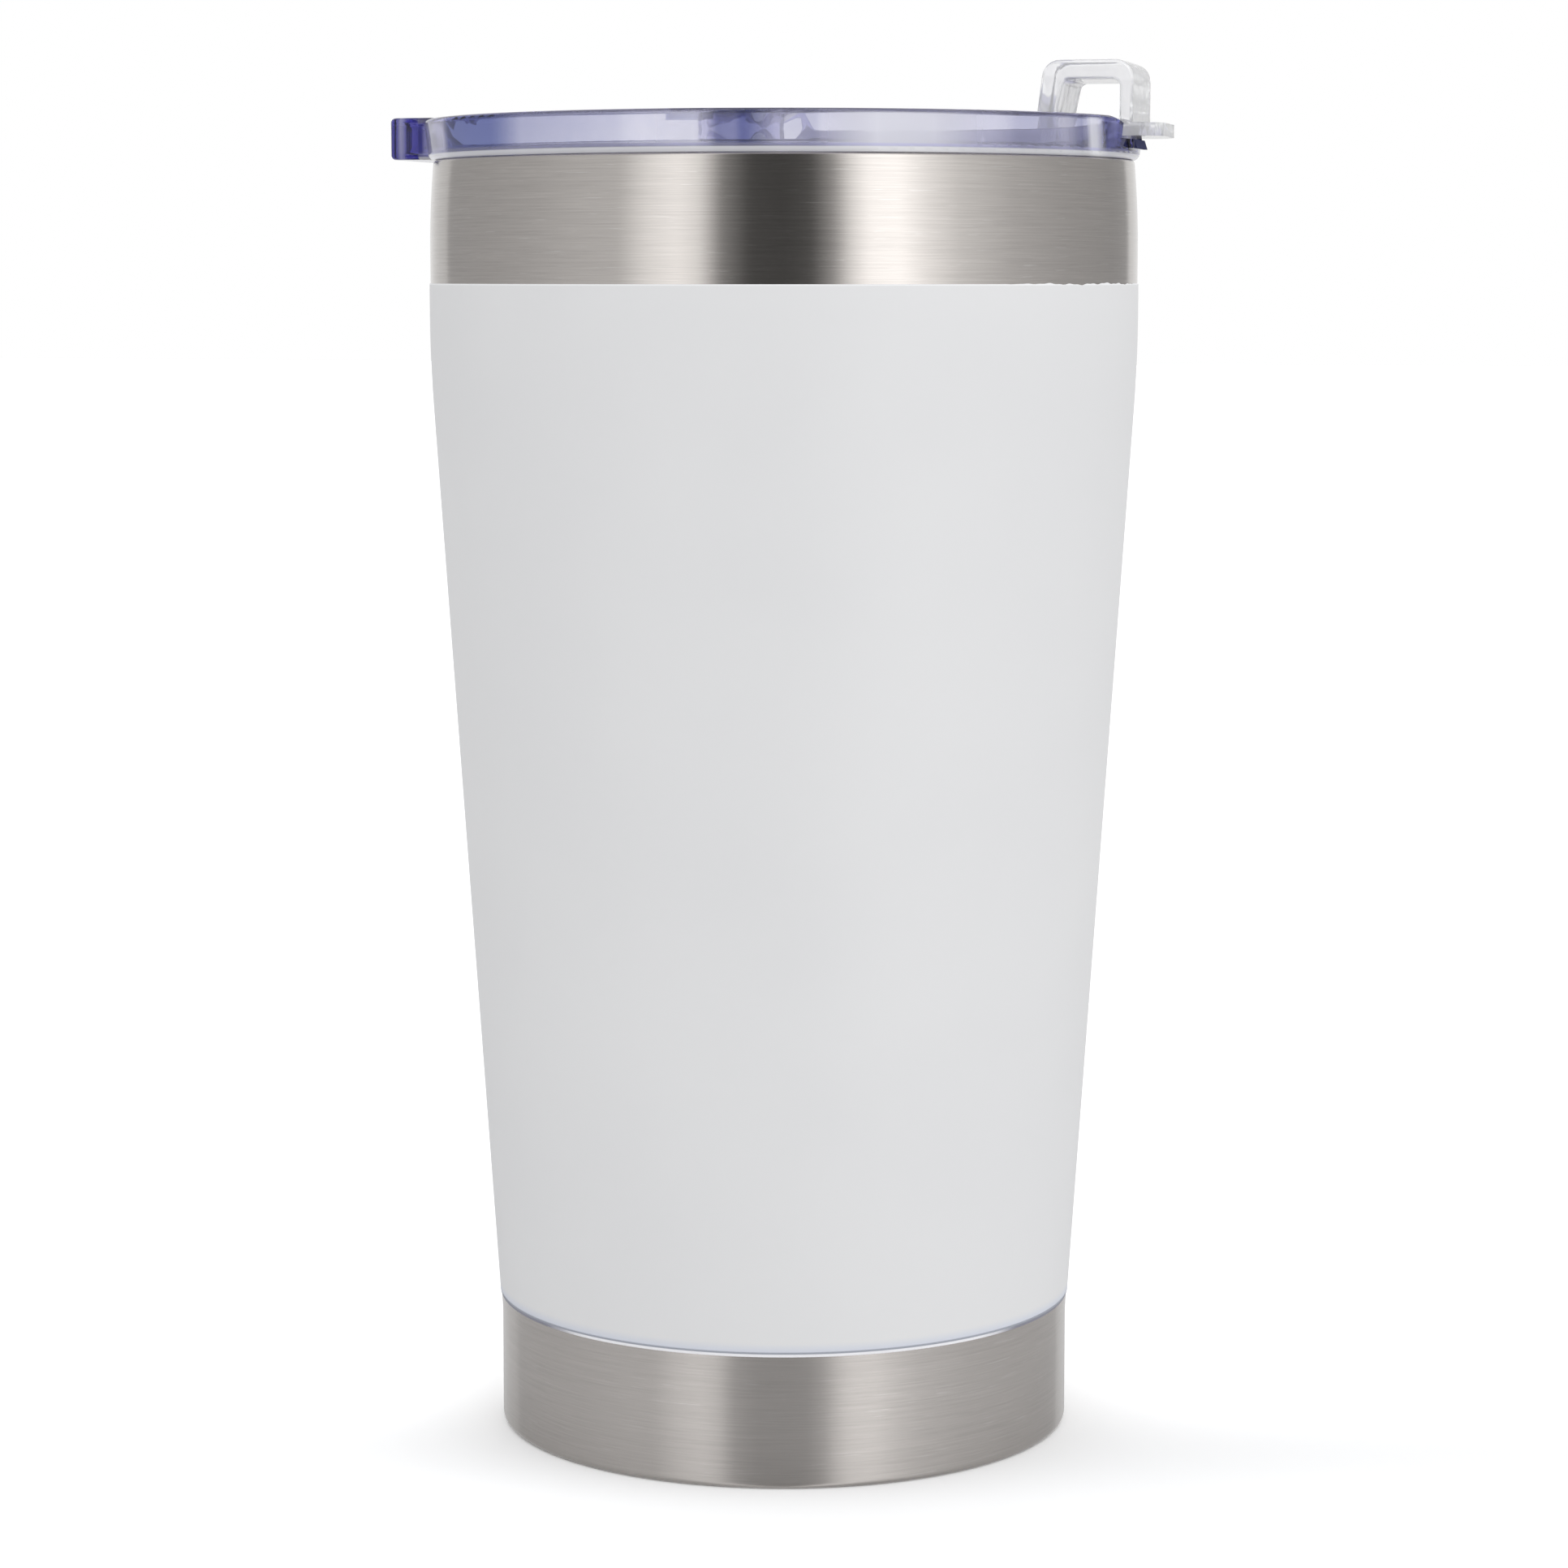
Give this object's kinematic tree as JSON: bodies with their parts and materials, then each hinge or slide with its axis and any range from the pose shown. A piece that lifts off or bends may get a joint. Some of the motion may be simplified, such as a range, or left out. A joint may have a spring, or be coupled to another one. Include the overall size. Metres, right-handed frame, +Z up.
{
  "type": "insulated tumbler",
  "caption": "Double-walled steel tumbler, white between bare bands, with a clear blue press-in lid and a flip-up clear strap that carries a finger loop, thumb tab and drinking-hole plug.",
  "frame": {"origin": "on the standing face, on the cup's axis", "axes": "+Z up along the cup's axis, +X along the closed strap towards its thumb tab, +Y across it"},
  "size_m": [0.0972, 0.089, 0.1709],
  "materials": {
    "brushed_shell": "brushed round the axis",
    "white_coat": "satin",
    "liner_steel": "electropolished satin",
    "copper_foil": "foil",
    "base_steel": "satin",
    "glass_bead": "gloss",
    "getter": "matte",
    "blue_clear": "clear, tinted blue",
    "silicone": "translucent white",
    "clear_plastic": "clear"
  },
  "bodies": {
    "cup": {"outer_shell": "brushed_shell", "white_coating": "white_coat", "inner_liner": "liner_steel", "radiation_shield": "copper_foil", "shell_bottom": "base_steel", "port_seal": "glass_bead", "base_plate": "base_steel", "getter_pill": "getter", "getter_clip": "base_steel"},
    "seal": {"lid_gasket": "silicone"},
    "lid": {"lid": "blue_clear"},
    "strap": {"flip_cap": "clear_plastic", "drink_plug": "silicone"}
  },
  "joints": [
    {"name": "lid_lift", "type": "slide", "parent": "cup", "child": "seal", "axis": [0, 0, 1], "range_m": [0, 0.06]},
    {"name": "lid_turn", "type": "hinge", "parent": "seal", "child": "lid", "pos_m": [0, 0, 0.1592], "axis": [0, 0, 1], "continuous": true},
    {"name": "cap_flip", "type": "hinge", "parent": "lid", "child": "strap", "pos_m": [0, 0, 0.1626], "axis": [0, -1, 0], "range_deg": [0, 135]}
  ]
}
